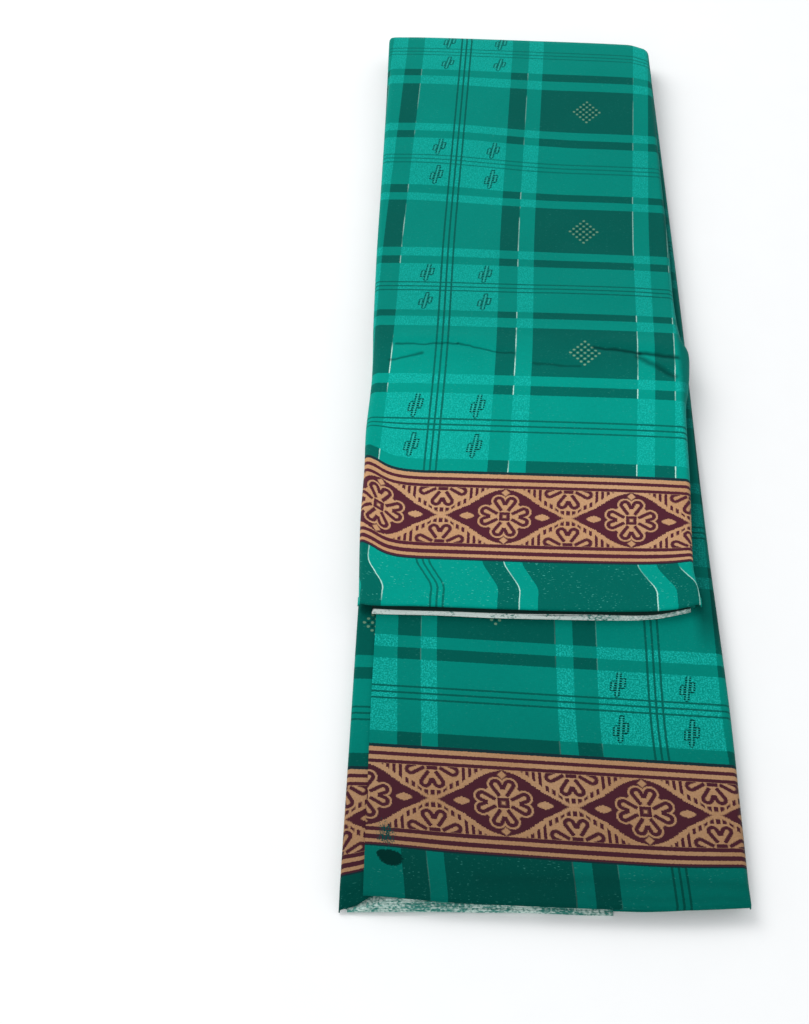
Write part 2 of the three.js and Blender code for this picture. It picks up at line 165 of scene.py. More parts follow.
def smooth(rows, place, column=1):
    """Value of one column of a table at a place, on a smooth curve through the rows."""
    x = rows[:, 0]
    y = rows[:, column]
    slope = np.empty_like(y)
    slope[1:-1] = (y[2:] - y[:-2]) / (x[2:] - x[:-2])
    slope[0] = (y[1] - y[0]) / (x[1] - x[0])
    slope[-1] = (y[-1] - y[-2]) / (x[-1] - x[-2])
    p = np.clip(place, x[0], x[-1])
    i = np.clip(np.searchsorted(x, p) - 1, 0, len(x) - 2)
    step = x[i + 1] - x[i]
    t = (p - x[i]) / step
    rise = (t ** 3 - 2 * t ** 2 + t) * step * slope[i] + (t ** 3 - t ** 2) * step * slope[i + 1]
    return (2 * t ** 3 - 3 * t ** 2 + 1) * y[i] + (3 * t ** 2 - 2 * t ** 3) * y[i + 1] + rise


def soft(t):
    """A step from 0 to 1 with soft ends."""
    c = np.clip(t, 0.0, 1.0)
    return c * c * (3 - 2 * c)


def mixed(a, b, share):
    """A value part of the way from a to b."""
    return a + (b - a) * share


def crease_rise(x, y):
    """Rise or fall of the top face where the creases run, fading out at their ends."""
    rise = np.zeros(np.broadcast(x, y).shape)
    for x0, y0, x1, y1, height, width in CREASES:
        dx = x1 - x0
        dy = y1 - y0
        t = np.clip(((x - x0) * dx + (y - y0) * dy) / (dx * dx + dy * dy), 0.0, 1.0)
        away = np.hypot(x - x0 - t * dx, y - y0 - t * dy) / width
        rise = rise + height * np.exp(-away ** 2) * soft(4 * t + 0.2) * soft(4 * (1 - t) + 0.2)
    return rise


def crown(x, left, right):
    """The top face falls a little towards both sides."""
    return -1.1 * ((2 * x - left - right) / (right - left)) ** 4


def far_start(x):
    """Where the far fold begins along the strip. Its two corners are rounded off."""
    rounded = 4 * soft((x - 66) / 14) + 1.2 * soft((-87 - x) / 5)
    return FAR_TURN - 0.014 * np.maximum(0.0, x + 72) - rounded


def upper_radius(y):
    """Radius of the flap's turned side edges."""
    return 0.355 * (smooth(UPPER, y) - SLIT_TOP)


def next_top(y):
    """Height of the layer under the lower half's top layer."""
    return smooth(LOWER, y) - 1.5


def side_lines(y, turned_share, base_share):
    """Left and right edge of the strip: on top, then at the far fold, then beneath."""
    sides = []
    for column, at_fold, beneath in zip((2, 3), FOLD_SIDES, BASE_SIDES):
        on_top = smooth(UPPER, y, column)
        sides.append(mixed(mixed(on_top, at_fold, turned_share), beneath, base_share))
    return sides


print("far fold at", round(float(far_start(0.0)), 1), "mm")
print("top of the crease at", round(float(smooth(UPPER, 10.0)), 1), "mm")

# %% [markdown]
# A cutter would lay the cloth flat and fold it, so each visible stretch starts as a flat grid, and
# every point of it is moved to its folded place. The grid carries the print with it: its UV map is
# in metres, across the strip and along it from the hem, so the print bends where the cloth bends.

# %% Sheets of cloth
EDGE = 0.1           # share of the grid across that goes into each turned side edge
TUCK = 0.4           # straight length below each turned edge


def edge_way(share, radius):
    """Length of cloth past the start of a turned edge. A radius of 0 means an edge left flat."""
    return np.clip(share, 0.0, 1.0) * (radius * math.pi / 2 + TUCK) * (radius > 0)


def turned(share, left, right, left_radius, right_radius):
    """Section whose side edges turn down: place across, depth, and place on the flat cloth."""
    left_way = edge_way(1 - share / EDGE, left_radius)
    right_way = edge_way((share - 1 + EDGE) / EDGE, right_radius)
    flat_share = np.clip((share - EDGE) / (1 - 2 * EDGE), 0.0, 1.0)
    from_left = left + left_radius
    to_right = right - right_radius
    x = from_left + flat_share * (to_right - from_left)
    depth = np.zeros_like(x)
    on_cloth = x - left_way + right_way
    for way, radius, side in ((left_way, left_radius, -1.0), (right_way, right_radius, 1.0)):
        safe = np.maximum(radius, 0.01)
        angle = np.minimum(way / safe, math.pi / 2)
        x = x + side * safe * np.sin(angle) * (radius > 0)
        below = np.maximum(0.0, way - safe * math.pi / 2)
        depth = depth + (safe * (1 - np.cos(angle)) + below) * (radius > 0)
    return x, depth, on_cloth


def lay_cloth(name, divisions, fold, thickness=CLOTH):
    """A flat grid, each point moved to its folded place by fold, with the print's place as its UV."""
    bpy.ops.object.select_all(action="DESELECT")
    bpy.ops.mesh.primitive_grid_add(x_subdivisions=divisions[0], y_subdivisions=divisions[1], size=1.0)
    piece = bpy.context.object
    piece.name = name
    mesh = piece.data
    mesh.name = name
    flat = np.empty(len(mesh.vertices) * 3)
    mesh.vertices.foreach_get("co", flat)
    flat = flat.reshape(-1, 3) + 0.5
    places, printed = fold(flat[:, 0], flat[:, 1])
    mesh.vertices.foreach_set("co", (np.stack(places, axis=1) * MM).ravel())
    corners = np.empty(len(mesh.loops), dtype=np.int64)
    mesh.loops.foreach_get("vertex_index", corners)
    mesh.uv_layers.active.data.foreach_set("uv", (np.stack(printed, axis=1)[corners] * MM).ravel())
    mesh.update()
    if thickness:
        shell = piece.modifiers.new("thickness", "SOLIDIFY")
        shell.thickness = thickness * MM
        shell.offset = -1.0
        bpy.ops.object.modifier_apply(modifier=shell.name)
    bpy.ops.object.shade_smooth()
    print(name, len(piece.data.polygons), "faces")
    return piece


# %% [markdown]
# The outermost stretch runs from the upper hem over the top, round the far fold and back beneath.
# It is the cloth that shows most, so it gets the finest grid on top. Its side edges turn down over
# the layers inside, as soft rounds, and its front edge is turned under as a narrow hem.

# %% Outer stretch
# Where a crease pulls at the check: place along, how far the columns stand from their own line
FLAP_COLUMNS = np.array([
    (-160, -1.0), (-154, -0.9), (-146, -0.8), (-138, -4.6), (-130, -8.3), (-120, -8.4),
    (-97, -7.6), (-62, -5.8), (19, -1.4), (121, 1.7), (236, 7.3), (305, 10.6),
])
# Length along the cloth from the hem: place in the repeat of the print
FLAP_ROWS = np.array([
    (0, 0), (30.1, 26.0), (90.2, 83.0), (98.2, 90.3), (121.9, 112.8), (144.3, 132.7),
    (151, 139.7), (158.2, 146.9), (196.5, 187.0), (204.7, 194.2), (210.2, 201.2),
    (231, 223.7), (250.5, 243.6), (256.9, 250.6), (264.1, 257.8), (304.3, 297.9),
    (311.3, 305.1), (317.3, 312.1), (340.7, 334.6), (360.1, 354.5), (367.3, 361.5),
    (374.5, 368.7), (415.3, 408.8), (424.3, 416.0), (431.9, 423.0), (451.5, 445.5),
    (1200, 1194.0),
])
# Half way up the flap its rows run back at the left: how far, where along the strip, over what
# length, and from what place across
ROW_SAG = -7.0
SAG_PLACE = 190.0
SAG_REACH = 130.0
SAG_SIDE = 25.0
SAG_WIDTH = 100.0
# The left end of the border lies askew: place across, how far its rows run back
BORDER_SKEW = np.array([
    (-92, -10.5), (-86, -8.0), (-80, -4.0), (-76, -2.2), (-70, -0.8), (-60, 0.0),
])
HEM_ALLOWANCE = 7.0
HEM_RADIUS = 0.85
# Shares of the grid along the strip at which the hem, the top and the far fold end
HEM_END = 0.03
TOP_END = 0.70
FOLD_END = 0.80
FOLD_RADIUS = 11.45  # of the middle of the cloth, where it goes round the far fold
BASE_LENGTH = 614.0


def upper_length():
    """Length along the cloth from the upper hem, for a fine row of places along the strip."""
    y = np.linspace(-UPPER_END, FAR_TURN, 1200)
    steps = np.hypot(np.diff(y), np.diff(smooth(UPPER, y)))
    return y, np.concatenate([[0.0], np.cumsum(steps)])


TOP_PLACES, TOP_LENGTHS = upper_length()

def outer_fold(across, along):
    """The outermost stretch: hem allowance, top, far fold, and back beneath."""
    hem_share = np.clip(along / HEM_END, 0.0, 1.0)
    top_share = np.clip((along - HEM_END) / (TOP_END - HEM_END), 0.0, 1.0)
    turn = np.clip((along - TOP_END) / (FOLD_END - TOP_END), 0.0, 1.0) * math.pi
    base_share = np.clip((along - FOLD_END) / (1 - FOLD_END), 0.0, 1.0)
    y = -UPPER_END + top_share * (FAR_TURN + UPPER_END)
    turned_share = soft(turn / math.pi)
    left, right = side_lines(y, turned_share, base_share)
    radius = mixed(upper_radius(y), 2.0, turned_share)
    # The far left corner is crisper than the rest of that edge
    left_radius = radius * (1 - 0.6 * soft((y - 262) / 40) * (1 - turned_share))
    x, depth, on_cloth = turned(across, left, right, left_radius, radius)
    shift = (smooth(UPPER_HEM, x) + UPPER_END) * soft(1 - (y + UPPER_END) / HEM_REACH)
    shift = shift + (far_start(x) - FAR_TURN) * soft((y - FAR_TURN + HEM_REACH) / HEM_REACH)
    top = smooth(UPPER, y) + crease_rise(x, y) + crown(x, left, right)
    middle = FAR_HEIGHT / 2
    fall = (top - smooth(UPPER, y)) * (1 + np.cos(turn)) / 2
    on_turn = middle + middle * np.cos(turn) + fall
    z = np.where(turn > 0, on_turn, top)
    along_y = np.where(turn > 0, far_start(x) + (HALF_LENGTH - FAR_TURN) * np.sin(turn), y + shift)
    along_y = mixed(along_y, smooth(BASE_HEM, x), base_share)
    # The hem allowance, turned under in front
    way = (1 - hem_share) * HEM_ALLOWANCE
    curl = np.minimum(way / HEM_RADIUS, math.pi)
    back = np.maximum(0.0, way - HEM_RADIUS * math.pi)
    at_hem = top_share == 0.0
    along_y = along_y + np.where(at_hem, HEM_RADIUS - HEM_RADIUS * np.sin(curl) + back, 0.0)
    along_y = along_y + np.where(at_hem, 0.0, HEM_RADIUS * soft(1 - top_share * 120))
    z = z - np.where(at_hem, HEM_RADIUS * (1 - np.cos(curl)), 0.0)
    z = z - depth * np.cos(turn)
    along_y = along_y - depth * np.sin(turn)
    # Its right edge flares a little at the hem
    flare = 2.3 * soft((-132 - y) / 26) * soft((x - 30) / 48)
    length = np.interp(y, TOP_PLACES, TOP_LENGTHS) - way + FOLD_RADIUS * turn + base_share * BASE_LENGTH
    u = on_cloth - smooth(FLAP_COLUMNS, y)
    sag = ROW_SAG * soft(1 - np.abs(y - SAG_PLACE) / SAG_REACH) * soft((SAG_SIDE - x) / SAG_WIDTH)
    v = smooth(FLAP_ROWS, length) + np.minimum(0.0, length) + sag
    v = v + smooth(BORDER_SKEW, x) * soft((-30 - y) / 25) * soft((y + 157) / 14)
    return (x + np.where(turn > 0, 0.0, flare), along_y, z), (u, v)


outer = lay_cloth("outer_cloth", (112, 340), outer_fold)

# %% [markdown]
# The lower half shows its top layer in front of the upper hem, and at the left the edge of the
# layer under that one. Both run on under the upper half to the far fold. One thick slab could
# stand for both, but the step between them and their two borders side by side show that the saree
# is many layers, so each is a sheet of its own, made by the same helper.

# %% Lower stretches
# How far the columns stand from their own line, near the left edge and near the right one
LOWER_COLUMNS = np.array([
    (-316, -42.9), (-309, -43.3), (-292, -45.3), (-262, -47.9), (-219, -49.5), (-166, -50.8),
    (305, -52.0),
])
LOWER_COLUMNS_RIGHT = np.array([
    (-316, -44.6), (-309, -45.0), (-292, -46.3), (-262, -48.4), (-219, -51.0), (-166, -51.0),
    (305, -52.0),
])
NEXT_COLUMNS = -108.2
COLUMN_REPEAT = 157.1
LOWER_LENGTH = 612.0
# The lower half's rows lie a little askew: how much for each millimetre across, and from where
ROW_LEAN = 0.035
LEAN_START = -20.0


def lower_fold(hem, edges, radii, top, print_from, columns, lean):
    """Makes the fold of one lower layer: radii are of its turned sides, lean is of its rows."""
    def fold(across, along):
        # The grid is finer near the hem, which shows
        length = along ** 1.25 * LOWER_LENGTH
        y = length - HALF_LENGTH
        left, right = edges(y)
        left_radius = np.full_like(y, radii[0])
        right_radius = radii[1] * (1 - 0.72 * soft(1 - length / 14))
        x, depth, on_cloth = turned(across, left, right, left_radius, right_radius)
        place = y + (smooth(hem, x) + HALF_LENGTH) * soft(1 - length / HEM_REACH)
        z = top(x, place) - depth - 1.2 * (1 - soft(length / 1.4 + 0.15))
        u = on_cloth - columns(x, place)
        v = length + print_from + lean * (x - LEAN_START)
        return (x, place, z), (u, v)
    return fold


def lower_columns(x, y):
    share = soft((x + 60) / 100)
    return mixed(smooth(LOWER_COLUMNS, y), smooth(LOWER_COLUMNS_RIGHT, y), share) - COLUMN_REPEAT


def droop(x, y):
    """The front left corner of the layer beneath hangs down towards the surface."""
    return 3.9 * soft((-306 - y) / 10) * soft((-77 - x) / 8)


lower = lay_cloth("lower_cloth", (112, 300), lower_fold(
    hem=LOWER_HEM,
    edges=lambda y: (smooth(LOWER, y, 2), smooth(LOWER, y, 3)),
    radii=(0.0, 3.0),
    top=lambda x, y: smooth(LOWER, y),
    print_from=2.6,
    columns=lower_columns,
    lean=ROW_LEAN))
lower_left = lay_cloth("lower_left_cloth", (100, 240), lower_fold(
    hem=NEXT_HEM,
    edges=lambda y: (smooth(LOWER, y, 4), smooth(LOWER, y, 3) - 4.5),
    radii=(1.8, 0.0),
    top=lambda x, y: next_top(y) - droop(x, y),
    print_from=12.6,
    columns=lambda x, y: np.full_like(x, NEXT_COLUMNS),
    lean=0.0))

# %% [markdown]
# Inside lie about thirty layers that show only as folded edges along the sides. Thirty sheets
# would look no different and weigh far more, so they are one tube, bent over at the far fold as
# the strip is, with the folded edges as soft ribs. No two ribs are alike, because each fold lies a
# little differently, so every rib swings in and out by its own slow wave.

# %% Hidden layers
RIB_COUNT = 11
ribs = np.random.default_rng(7)
RIB_OUT = ribs.uniform(-2.4, -0.7, (2, RIB_COUNT))
RIB_SWING = ribs.uniform(0.15, 0.5, (2, RIB_COUNT))
RIB_LENGTH = ribs.uniform(30.0, 62.0, (2, RIB_COUNT))
RIB_START = ribs.uniform(0.0, 6.3, (2, RIB_COUNT))
# Shares of the grid along the tube at which its upper half and its bend end
TUBE_TOP_END = 0.42
TUBE_BEND_END = 0.48
TUBE_UPPER_FRONT = -148.5
TUBE_LOWER_FRONT = -304.5
WALL = 2.0           # room left for the cloth outside the tube


def hidden_fold(around, along):
    """The tube of hidden layers: round its section, and along it from the upper hem to the lower one."""
    top_share = np.clip(along / TUBE_TOP_END, 0.0, 1.0)
    turn = np.clip((along - TUBE_TOP_END) / (TUBE_BEND_END - TUBE_TOP_END), 0.0, 1.0) * math.pi
    base_share = np.clip((along - TUBE_BEND_END) / (1 - TUBE_BEND_END), 0.0, 1.0)
    turned_share = soft(turn / math.pi)
    y = TUBE_UPPER_FRONT + top_share * (FAR_TURN - TUBE_UPPER_FRONT)
    base_y = mixed(FAR_TURN, TUBE_LOWER_FRONT, base_share)
    left, right = side_lines(y, turned_share, base_share)
    rib_left = mixed(left, smooth(LOWER, base_y, 4) + 1.9, turned_share)
    rib_right = mixed(right, smooth(LOWER, base_y, 3) - 1.9, turned_share)
    # Once round the section: over the outside, down the right side, back inside, up the left side
    outside = np.clip(around / 0.2, 0.0, 1.0)
    down = np.clip((around - 0.2) / 0.3, 0.0, 1.0)
    inside = np.clip((around - 0.5) / 0.2, 0.0, 1.0)
    rise = np.clip((around - 0.7) / 0.3, 0.0, 1.0)
    on_left = around > 0.7
    level = np.where(on_left, 1 - rise, down)
    level = np.where((around > 0.5) & ~on_left, 1.0, level)
    which = np.clip((level * RIB_COUNT).astype(int), 0, RIB_COUNT - 1)
    side = np.where(on_left, 0, 1)
    bulge = np.sqrt(np.clip(np.sin(math.pi * ((level * RIB_COUNT) % 1.0)), 0.0, 1.0))
    at = np.where(base_share > 0, base_y, y)
    swing = RIB_SWING[side, which] * np.sin(at / RIB_LENGTH[side, which] + RIB_START[side, which])
    out = -WALL + (RIB_OUT[side, which] + swing + WALL) * bulge - 3.2 * (1 - soft(level / 0.12))
    x_left = rib_left - out
    x_right = rib_right + out
    x = np.where(around <= 0.2, mixed(left + 5.2, right - 5.2, outside), 0.0)
    x = np.where((around > 0.2) & (around <= 0.5), x_right, x)
    x = np.where((around > 0.5) & (around <= 0.7), mixed(x_right, x_left, inside), x)
    x = np.where(on_left, x_left, x)
    top = smooth(UPPER, y) + crease_rise(x, y) + crown(np.clip(x, left, right), left, right)
    # The creases need a little more room
    room = WALL + 1.5 * soft((y + 40) / 24) * soft((80 - y) / 24)
    upper_z = mixed(top - room, SLIT_TOP, level)
    slit_radius = (SLIT_TOP - SLIT_BOTTOM) / 2
    slit_y = far_start(x) + slit_radius * np.sin(turn)
    slit_z = (SLIT_TOP + SLIT_BOTTOM) / 2 + slit_radius * np.cos(turn)
    fold_y = far_start(x) + (HALF_LENGTH - FAR_TURN - WALL) * np.sin(turn)
    fold_z = FAR_HEIGHT / 2 + (FAR_HEIGHT / 2 - WALL) * np.cos(turn)
    in_turn = (turn > 0) & (base_share == 0)
    z = np.where(in_turn, mixed(fold_z, slit_z, level), upper_z)
    place = np.where(in_turn, mixed(fold_y, slit_y, level), y)
    lower_z = mixed(1.9, next_top(base_y) - WALL, level)
    z = np.where(base_share > 0, lower_z, z)
    place = np.where(base_share > 0, base_y, place)
    return (x, place, z), (x, place)


hidden = lay_cloth("inner_layers", (190, 150), hidden_fold, thickness=0)
bpy.ops.object.mode_set(mode="EDIT")
bpy.ops.mesh.select_all(action="SELECT")
bpy.ops.mesh.remove_doubles(threshold=0.00002)
bpy.ops.mesh.fill_holes(sides=0)
bpy.ops.mesh.select_all(action="SELECT")
bpy.ops.mesh.normals_make_consistent(inside=False)
bpy.ops.object.mode_set(mode="OBJECT")
print("hidden layers", len(hidden.data.polygons), "faces")

# %% [markdown]
# Under the upper hem and under the lower hem the pale woven edges of many layers lie on each other
# as one soft roll. A single rounded bar would look like cord, so each layer is its own thin strip,
# and their front edges never quite line up. The strips of one roll are joined into one piece.

# %% Woven edges
edges = np.random.default_rng(11)


def end_layers(name, span, hem, back, low, high, count, setback, lean, start, shade):
    """A roll of woven edges: each strip up stands back by a share of lean and begins later by start, and
    shade scales the distance behind the front that sets their painted shade.
    """
    strips = []
    for k in range(count):
        phase = edges.uniform(0.0, 6.3, 3)
        reach = edges.uniform(0.0, 0.35)
        bulge = lean * (k / (count - 1)) ** 1.6

        def fold(across, along, k=k, phase=phase, reach=reach, bulge=bulge):
            x = mixed(span[0] + start * k / (count - 1), span[1], across)
            wave = 0.16 * np.sin(x / 9.0 + phase[0]) + 0.2 * np.sin(x / 23.0 + phase[1])
            front = smooth(hem, x) + setback + reach + bulge + wave
            bottom = low(x)
            room = (high(x) - bottom) / count
            z = bottom + room * (k + 1) + 0.06 * np.sin(x / 7.0 + phase[2])
            y = mixed(front, back(x), along ** 1.6)
            z = z - 0.5 * room * (1 - np.sqrt(np.clip(along * 9.0, 0.0, 1.0)))
            # The second place on the cloth is the distance behind the front, which the finish turns into
            # painted shade
            return (x, y, z), (x, (y - front) * shade * (0.4 + 0.6 * (k > 0.6 * count)))

        strips.append(lay_cloth(f"{name}_{k}", (120, 8), fold, thickness=0.42))
    bpy.ops.object.select_all(action="DESELECT")
    for strip in strips:
        strip.select_set(True)
    bpy.context.view_layer.objects.active = strips[0]
    bpy.ops.object.join()
    roll = bpy.context.object
    roll.name = name
    roll.data.name = name
    print(name, len(roll.data.polygons), "faces")
    return roll


flap_ends = end_layers(
    "flap_woven_edges", span=(-83.5, 76.0), hem=FLAP_ROLL,
    back=lambda x: smooth(UPPER_HEM, x) + 9.0,
    low=lambda x: np.full_like(x, SLIT_TOP),
    high=lambda x: 12.4 - 0.7 * soft((x - 30) / 40),
    count=6, setback=-0.3, lean=1.0, start=1.0, shade=3.0)
front_ends = end_layers(
    "front_woven_edges", span=(-88.0, 31.0), hem=PALE_FRONT,
    back=lambda x: np.full_like(x, -306.3),
    low=lambda x: np.full_like(x, 0.7),
    high=lambda x: 0.7 + 5.2 * (1 - 0.8 * soft((x + 20) / 45)),
    count=7, setback=-0.8, lean=3.6, start=17.0, shade=0.25)

# %% [markdown]
# The finishes are built from nodes. Joining them by hand would fill the screen with lines, so Wire
# wraps a shader value, and sums and products of values read like sums and products. One function
# makes every node, and Finish holds a material with the few nodes that all the finishes need.

# %% Node tools
class Wire:
    """A value in a shader. What is worked out from it becomes Math nodes."""

    def __init__(self, tree, socket):
        self.tree = tree
        self.socket = socket

    def maths(self, operation, *values):
        return new_node(self.tree, "ShaderNodeMath", {"operation": operation}, dict(enumerate(values)))

    def __add__(self, other):
        return self.maths("ADD", self, other)

    def __radd__(self, other):
        return self.maths("ADD", other, self)

    def __sub__(self, other):
        return self.maths("SUBTRACT", self, other)

    def __rsub__(self, other):
        return self.maths("SUBTRACT", other, self)

    def __mul__(self, other):
        return self.maths("MULTIPLY", self, other)

    def __rmul__(self, other):
        return self.maths("MULTIPLY", other, self)

    def __truediv__(self, other):
        return self.maths("DIVIDE", self, other)

    def __mod__(self, other):
        return self.maths("FLOORED_MODULO", self, other)

    def __abs__(self):
        return self.maths("ABSOLUTE", self)

    def sine(self):
        return self.maths("SINE", self)

    def root(self):
        return self.maths("SQRT", self)

    def rounded(self):
        return self.maths("ROUND", self)

    def at_least(self, other):
        return self.maths("MAXIMUM", self, other)

    def at_most(self, other):
        return self.maths("MINIMUM", self, other)

    def over(self, limit, edge=0.2):
        """0 below the limit and 1 above it, with a soft edge of this width."""
        return new_node(self.tree, "ShaderNodeMapRange", {}, {
            "Value": self, "From Min": limit - edge / 2, "From Max": limit + edge / 2})

    def under(self, limit, edge=0.2):
        return 1 - self.over(limit, edge)

    def between(self, low, high, edge=0.2):
        return self.over(low, edge) * self.under(high, edge)


def plug(tree, entry, value):
    """Joins a socket to a value in the shader, or sets it to a plain number or colour."""
    if isinstance(value, Wire):
        tree.links.new(value.socket, entry)
        return
    entry.default_value = value


def new_node(tree, kind, settings, inputs, output=0):
    """A node: its type, then its settings, then the values or links of its sockets."""
    node = tree.nodes.new(kind)
    for key, value in settings.items():
        setattr(node, key, value)
    for key, value in inputs.items():
        plug(tree, node.inputs[key], value)
    return Wire(tree, node.outputs[output])


def colour(red, green, blue):
    """A colour given as on a screen, 0 to 255, as the shader takes it."""
    def linear(c):
        c = c / 255
        return c / 12.92 if c <= 0.04045 else ((c + 0.055) / 1.055) ** 2.4
    return (linear(red), linear(green), linear(blue), 1.0)


class Finish:
    """A material and the nodes that it is made of."""

    def __init__(self, name, roughness, sheen, specular, gloss=(1.0, 1.0, 1.0, 1.0)):
        self.material = bpy.data.materials.new(name)
        self.material.use_nodes = True
        self.tree = self.material.node_tree
        self.shader = self.tree.nodes["Principled BSDF"]
        self.shader.inputs["Roughness"].default_value = roughness
        self.shader.inputs["Sheen Weight"].default_value = sheen
        self.shader.inputs["Sheen Roughness"].default_value = 0.5
        self.shader.inputs["Specular IOR Level"].default_value = specular
        self.shader.inputs["Specular Tint"].default_value = gloss
        self.shader.inputs["Sheen Tint"].default_value = gloss

    def node(self, kind, settings, inputs, output=0):
        return new_node(self.tree, kind, settings, inputs, output)

    def join(self, x, y, z=0.0):
        return self.node("ShaderNodeCombineXYZ", {}, {0: x, 1: y, 2: z})

    def noise(self, vector, scale, detail=2.0, roughness=0.5):
        return self.node("ShaderNodeTexNoise", {}, {
            "Vector": vector, "Scale": scale, "Detail": detail, "Roughness": roughness})

    def parts(self, vector):
        """The first two parts of a vector, as two values."""
        apart = self.node("ShaderNodeSeparateXYZ", {}, {0: vector})
        return apart, Wire(self.tree, apart.socket.node.outputs[1])

    def scaled(self, vector, by):
        return self.node("ShaderNodeVectorMath", {"operation": "MULTIPLY"}, {0: vector, 1: by})

    def on_cloth(self):
        """The place on the flat cloth, in metres."""
        return self.node("ShaderNodeUVMap", {"uv_map": "UVMap"}, {})

    def on_piece(self):
        """The place in space, in metres."""
        return self.node("ShaderNodeTexCoord", {}, {}, 3)

    def bumps(self, height, strength, distance):
        self.feed("Normal", self.node("ShaderNodeBump", {}, {
            "Strength": strength, "Distance": distance, "Height": height}))

    def mix(self, first, second, share):
        return self.node("ShaderNodeMix", {"data_type": "RGBA"}, {0: share, 6: first, 7: second}, 2)

    def feed(self, name, value):
        plug(self.tree, self.shader.inputs[name], value)


def mix_value(first, second, share):
    """A value part of the way from the first to the second, in the shader."""
    return first + (second - first) * share


GREEN_GLOSS = (0.05, 0.85, 0.75, 1.0)
print("node tools ready")

# %% [markdown]
# The printer's check: broad and narrow columns and rows in three depths of green, with thin lines
# in threes through the light bands. A picture could carry it, but worked out in the shader it stays
# sharp at any distance and bends with the cloth. All places are in millimetres on the flat cloth,
# u across the strip and v along it from the hem.

# %% Check
CHECK_START = 90.3
ROW_REPEAT = 110.9
LAST_COLUMN_END = 158.0
# Light bands in the repeat of the rows, the first one from 0
PALE_ROW_END = 42.4
NARROW_ROWS = ((49.4, 56.6), (96.7, 103.9))
# Middle of the triple lines, in the repeats of the columns and of the rows
LINE_COLUMN = 106.6
LINE_ROW = 22.5


def light_bands(column, row, v, lines_at):
    """How many light bands cross at a point, 0 to 2, and the light rows alone."""
    light_column = column.between(lines_at[0], lines_at[1]) + column.between(lines_at[2], lines_at[3])
    light_column = light_column + column.between(lines_at[4], LAST_COLUMN_END)
    light_row = row.under(PALE_ROW_END)
    for low, high in NARROW_ROWS:
        light_row = light_row + row.between(low, high)
    light_row = light_row * v.over(CHECK_START)
    return light_column + light_row, light_row


def triple_lines(column, row, v):
    """Thin lines in threes. The ones across grow weaker far from the hem."""
    aside = abs(column - LINE_COLUMN)
    beside = abs(row - LINE_ROW)
    upright = aside.under(0.55) + aside.between(2.6, 3.7)
    level = (beside.under(0.55) + beside.between(3.05, 4.15)) * v.over(84)
    return (upright + level * (1 - v.over(250, 160) * 0.35)).at_most(1.0)


def pale_gaps(column, v, light_row, lines_at, patchy):
    """Where two screens don't quite meet, bare cloth shows beside a dark column."""
    gap = column.between(58.3, 58.8) + column.between(78.8, 79.3) + abs(column - lines_at[4]).under(0.25)
    gap = gap.at_most(1.0) * patchy.over(0.45, 0.16) * (1 - light_row)
    return gap * (1 - v.over(290.0, 170.0) * 0.7)


print("check repeats every", COLUMN_REPEAT, "mm across and", ROW_REPEAT, "mm along")

# %% [markdown]
# Two small figures fill the cells: three linked upright shapes with a broken, stitched outline, in
# pairs in the pale cells, and a lozenge of dots in the dark cells. Distance to a few straight
# strokes gives a clean outline with rounded ends, which is how such a figure is drawn on a screen.

# %% Figures in the cells
# Each link: place across, lowest and highest place
LINKS = ((0.0, -7.6, 7.6), (-2.4, -4.4, 1.4), (2.4, -2.4, 3.6))
LINK_SLOPE = 0.13
FIGURES_APART = (33.6, 25.9)
FIGURE_ROW = 9.0
PALE_CELL = (80, 136)
# The lozenge of dots: its middle in both repeats, and the steps between dots
DOTS_AT = (29.2, 76.6)
DOT_STEPS = (2.0, 2.4)


def linked_figure(x, y):
    """Three upright stitched links side by side: their broken outlines, and the pale dots inside."""
    outline = None
    inside = None
    upright = x - y * LINK_SLOPE
    for middle, low, high in LINKS:
        half = (high - low) / 2
        past = (abs(y - (low + high) / 2) - (half - 0.9)).at_least(0.0)
        aside = upright - middle
        away = (aside * aside + past * past).root()
        ring = away.between(0.5, 1.4, 0.3)
        core = away.under(0.45, 0.3)
        outline = ring if outline is None else outline.at_least(ring)
        inside = core if inside is None else inside.at_least(core)
    stitched = (y * (2 * math.pi / 1.4)).sine().over(-0.5, 0.5)
    spots = (y * (2 * math.pi / 1.25)).sine().over(0.2, 0.5)
    return outline * stitched, inside * spots


def paired_figures(u, v, column, row, shift, begin):
    """Four linked figures in each pale cell, from the place begin on: outlines and dots."""
    figure_u = column - shift
    figure_u = figure_u - FIGURES_APART[0] * figure_u.over(FIGURES_APART[0] / 2, 0.01)
    figure_v = row - FIGURE_ROW
    figure_v = figure_v - FIGURES_APART[1] * figure_v.over(13.0, 0.01)
    in_cell = column.between(*PALE_CELL) * row.under(42.0) * v.over(CHECK_START) * u.over(begin)
    outline, dots = linked_figure(figure_u, figure_v)
    return outline * in_cell, dots * in_cell


def dotted_figure(column, row):
    """Dots of a lozenge, and those of every second ring, which are paler."""
    dot_u = column - DOTS_AT[0]
    dot_v = row - DOTS_AT[1]
    step_u = (dot_u / DOT_STEPS[0]).rounded()
    step_v = (dot_v / DOT_STEPS[1]).rounded()
    rings = abs(step_u) + abs(step_v)
    off_u = dot_u - step_u * DOT_STEPS[0]
    off_v = dot_v - step_v * DOT_STEPS[1]
    dots = (off_u * off_u + off_v * off_v).under(0.6, 0.4) * rings.under(4.5, 0.1)
    even = (rings % 2.0).under(0.5, 0.1)
    return dots, dots * even


print("links in a figure", len(LINKS))

# %% [markdown]
# The border is a run of stepped lozenges with a flower in each, half flowers between them, and
# straight lines along both sides. One eighth of a flower is drawn and mirrored, as a block cutter
# would repeat it, and places are rounded to half a millimetre, so edges look stepped, as woven or
# screen-printed ones do.

